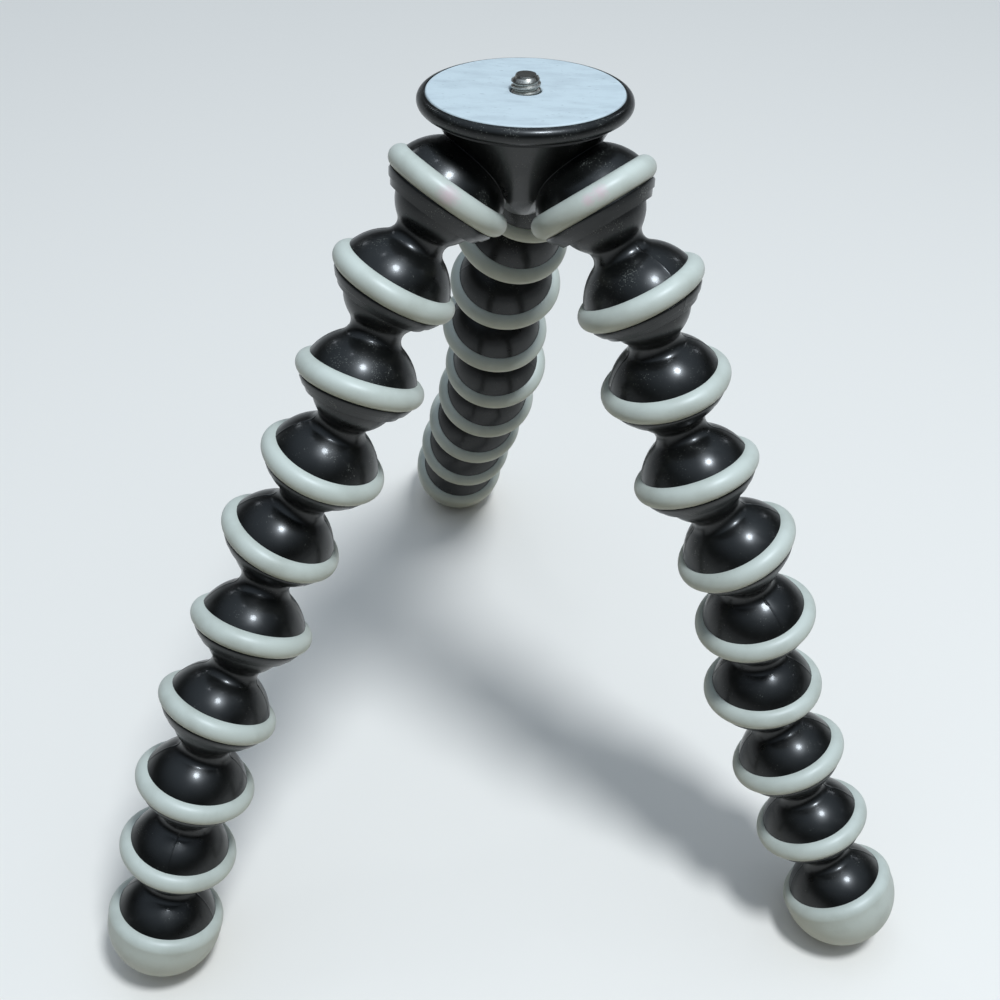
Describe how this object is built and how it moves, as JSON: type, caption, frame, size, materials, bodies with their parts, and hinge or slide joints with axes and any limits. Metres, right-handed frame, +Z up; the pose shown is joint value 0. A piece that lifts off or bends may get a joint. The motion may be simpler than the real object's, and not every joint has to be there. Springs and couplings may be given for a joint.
{
  "type": "flexible leg tripod",
  "caption": "Small camera tripod whose legs are chains of ball-and-socket links with rubber grip rings, under a round padded plate with a camera screw.",
  "frame": {"origin": "centre of the bounding box on the ground plane that the three feet stand on", "axes": "+Z up from the ground, -Y towards the two front legs, +Y towards the back leg, +X towards the right leg"},
  "size_m": [0.211, 0.2224, 0.2236],
  "materials": {
    "black_plastic": "gloss",
    "grip_rubber": "matte",
    "pad_rubber": "matte",
    "screw_metal": "satin"
  },
  "bodies": {
    "head": {"hub": "black_plastic", "hub_grip_rings": "grip_rubber", "top_plate": "black_plastic", "top_pad": "pad_rubber", "camera_screw": "screw_metal"},
    "left_link_1": {"link_left_1": "black_plastic", "grip_ring_left_1": "grip_rubber"},
    "left_link_2": {"link_left_2": "black_plastic", "grip_ring_left_2": "grip_rubber"},
    "left_link_3": {"link_left_3": "black_plastic", "grip_ring_left_3": "grip_rubber"},
    "left_link_4": {"link_left_4": "black_plastic", "grip_ring_left_4": "grip_rubber"},
    "left_link_5": {"link_left_5": "black_plastic", "grip_ring_left_5": "grip_rubber"},
    "left_link_6": {"link_left_6": "black_plastic", "grip_ring_left_6": "grip_rubber"},
    "left_link_7": {"link_left_7": "black_plastic", "grip_ring_left_7": "grip_rubber"},
    "left_link_8": {"link_left_8": "black_plastic", "grip_ring_left_8": "grip_rubber"},
    "left_foot": {"foot_left": "black_plastic", "foot_cup_left": "grip_rubber"},
    "right_link_1": {"link_right_1": "black_plastic", "grip_ring_right_1": "grip_rubber"},
    "right_link_2": {"link_right_2": "black_plastic", "grip_ring_right_2": "grip_rubber"},
    "right_link_3": {"link_right_3": "black_plastic", "grip_ring_right_3": "grip_rubber"},
    "right_link_4": {"link_right_4": "black_plastic", "grip_ring_right_4": "grip_rubber"},
    "right_link_5": {"link_right_5": "black_plastic", "grip_ring_right_5": "grip_rubber"},
    "right_link_6": {"link_right_6": "black_plastic", "grip_ring_right_6": "grip_rubber"},
    "right_link_7": {"link_right_7": "black_plastic", "grip_ring_right_7": "grip_rubber"},
    "right_link_8": {"link_right_8": "black_plastic", "grip_ring_right_8": "grip_rubber"},
    "right_foot": {"foot_right": "black_plastic", "foot_cup_right": "grip_rubber"},
    "back_link_1": {"link_back_1": "black_plastic", "grip_ring_back_1": "grip_rubber"},
    "back_link_2": {"link_back_2": "black_plastic", "grip_ring_back_2": "grip_rubber"},
    "back_link_3": {"link_back_3": "black_plastic", "grip_ring_back_3": "grip_rubber"},
    "back_link_4": {"link_back_4": "black_plastic", "grip_ring_back_4": "grip_rubber"},
    "back_link_5": {"link_back_5": "black_plastic", "grip_ring_back_5": "grip_rubber"},
    "back_link_6": {"link_back_6": "black_plastic", "grip_ring_back_6": "grip_rubber"},
    "back_link_7": {"link_back_7": "black_plastic", "grip_ring_back_7": "grip_rubber"},
    "back_link_8": {"link_back_8": "black_plastic", "grip_ring_back_8": "grip_rubber"},
    "back_foot": {"foot_back": "black_plastic", "foot_cup_back": "grip_rubber"}
  },
  "joints": [
    {"name": "left_ball_1", "type": "hinge", "parent": "head", "child": "left_link_1", "pos_m": [-0.02587, -0.02956, 0.19957], "axis": [-0.4982, 0.8581, -0.1247], "range_deg": [-20, 34]},
    {"name": "left_ball_2", "type": "hinge", "parent": "left_link_1", "child": "left_link_2", "pos_m": [-0.03644, -0.03723, 0.1804], "axis": [-0.8027, -0.402, 0.4406], "range_deg": [-36, 17]},
    {"name": "left_ball_3", "type": "hinge", "parent": "left_link_2", "child": "left_link_3", "pos_m": [-0.04265, -0.04692, 0.16025], "axis": [0.4982, -0.8581, 0.1247], "range_deg": [-25, 23]},
    {"name": "left_ball_4", "type": "hinge", "parent": "left_link_3", "child": "left_link_4", "pos_m": [-0.05123, -0.05174, 0.13924], "axis": [0.7763, 0.3773, -0.505], "range_deg": [-26, 28]},
    {"name": "left_ball_5", "type": "hinge", "parent": "left_link_4", "child": "left_link_5", "pos_m": [-0.0614, -0.0576, 0.11923], "axis": [-0.4982, 0.8581, -0.1247], "range_deg": [-19, 26]},
    {"name": "left_ball_6", "type": "hinge", "parent": "left_link_5", "child": "left_link_6", "pos_m": [-0.0673, -0.06847, 0.0996], "axis": [-0.7695, -0.3713, 0.5196], "range_deg": [-24, 31]},
    {"name": "left_ball_7", "type": "hinge", "parent": "left_link_6", "child": "left_link_7", "pos_m": [-0.07521, -0.07889, 0.08044], "axis": [0.4982, -0.8581, 0.1247], "range_deg": [-37, 17]},
    {"name": "left_ball_8", "type": "hinge", "parent": "left_link_7", "child": "left_link_8", "pos_m": [-0.08105, -0.08555, 0.059], "axis": [0.842, 0.4445, -0.3056], "range_deg": [-31, 24]},
    {"name": "left_ball_9", "type": "hinge", "parent": "left_link_8", "child": "left_foot", "pos_m": [-0.08645, -0.09047, 0.03698], "axis": [-0.4982, 0.8581, -0.1247], "range_deg": [-26, 29]},
    {"name": "right_ball_1", "type": "hinge", "parent": "head", "child": "right_link_1", "pos_m": [0.00772, -0.02949, 0.20054], "axis": [-0.5014, -0.8599, 0.0957], "range_deg": [-19, 35]},
    {"name": "right_ball_2", "type": "hinge", "parent": "right_link_1", "child": "right_link_2", "pos_m": [0.01958, -0.03586, 0.18165], "axis": [0.8285, -0.4453, 0.3396], "range_deg": [-26, 20]},
    {"name": "right_ball_3", "type": "hinge", "parent": "right_link_2", "child": "right_link_3", "pos_m": [0.02701, -0.03867, 0.15985], "axis": [0.5014, 0.8599, -0.0957], "range_deg": [-17, 37]},
    {"name": "right_ball_4", "type": "hinge", "parent": "right_link_3", "child": "right_link_4", "pos_m": [0.03657, -0.04528, 0.13977], "axis": [-0.7572, 0.3826, -0.5294], "range_deg": [-16, 38]},
    {"name": "right_ball_5", "type": "hinge", "parent": "right_link_4", "child": "right_link_5", "pos_m": [0.04874, -0.04822, 0.12024], "axis": [-0.5014, -0.8599, 0.0957], "range_deg": [-14, 43]},
    {"name": "right_ball_6", "type": "hinge", "parent": "right_link_5", "child": "right_link_6", "pos_m": [0.05599, -0.04952, 0.09824], "axis": [0.8507, -0.4698, 0.2359], "range_deg": [-23, 32]},
    {"name": "right_ball_7", "type": "hinge", "parent": "right_link_6", "child": "right_link_7", "pos_m": [0.06103, -0.05172, 0.0757], "axis": [0.5014, 0.8599, -0.0957], "range_deg": [-12, 43]},
    {"name": "right_ball_8", "type": "hinge", "parent": "right_link_7", "child": "right_link_8", "pos_m": [0.0711, -0.0569, 0.05545], "axis": [-0.7891, 0.4091, -0.4583], "range_deg": [-28, 27]},
    {"name": "right_ball_9", "type": "hinge", "parent": "right_link_8", "child": "right_foot", "pos_m": [0.08047, -0.06192, 0.03483], "axis": [-0.5014, -0.8599, 0.0957], "range_deg": [-31, 24]},
    {"name": "back_ball_1", "type": "hinge", "parent": "head", "child": "back_link_1", "pos_m": [-0.00902, -0.00066, 0.19635], "axis": [0.9996, 0.0019, 0.0291], "range_deg": [-36, 18]},
    {"name": "back_ball_2", "type": "hinge", "parent": "back_link_1", "child": "back_link_2", "pos_m": [-0.00764, 0.01444, 0.1788], "axis": [-0.0135, 0.9141, 0.4053], "range_deg": [-41, 3]},
    {"name": "back_ball_3", "type": "hinge", "parent": "back_link_2", "child": "back_link_3", "pos_m": [-0.01371, 0.02344, 0.1583], "axis": [-0.9996, -0.0019, -0.0291], "range_deg": [-25, 25]},
    {"name": "back_ball_4", "type": "hinge", "parent": "back_link_3", "child": "back_link_4", "pos_m": [-0.01477, 0.03265, 0.13703], "axis": [0.0128, -0.9243, -0.3814], "range_deg": [-22, 33]},
    {"name": "back_ball_5", "type": "hinge", "parent": "back_link_4", "child": "back_link_5", "pos_m": [-0.01787, 0.04138, 0.11576], "axis": [0.9996, 0.0019, 0.0291], "range_deg": [-31, 22]},
    {"name": "back_ball_6", "type": "hinge", "parent": "back_link_5", "child": "back_link_6", "pos_m": [-0.01751, 0.0518, 0.09503], "axis": [-0.0155, 0.8791, 0.4764], "range_deg": [-37, 18]},
    {"name": "back_ball_7", "type": "hinge", "parent": "back_link_6", "child": "back_link_7", "pos_m": [-0.02103, 0.06268, 0.07484], "axis": [-0.9996, -0.0019, -0.0291], "range_deg": [-28, 28]},
    {"name": "back_ball_8", "type": "hinge", "parent": "back_link_7", "child": "back_link_8", "pos_m": [-0.02524, 0.07333, 0.05466], "axis": [0.0159, -0.8707, -0.4915], "range_deg": [-29, 26]},
    {"name": "back_ball_9", "type": "hinge", "parent": "back_link_8", "child": "back_foot", "pos_m": [-0.02885, 0.08454, 0.03468], "axis": [0.9996, 0.0019, 0.0291], "range_deg": [-29, 26]}
  ]
}
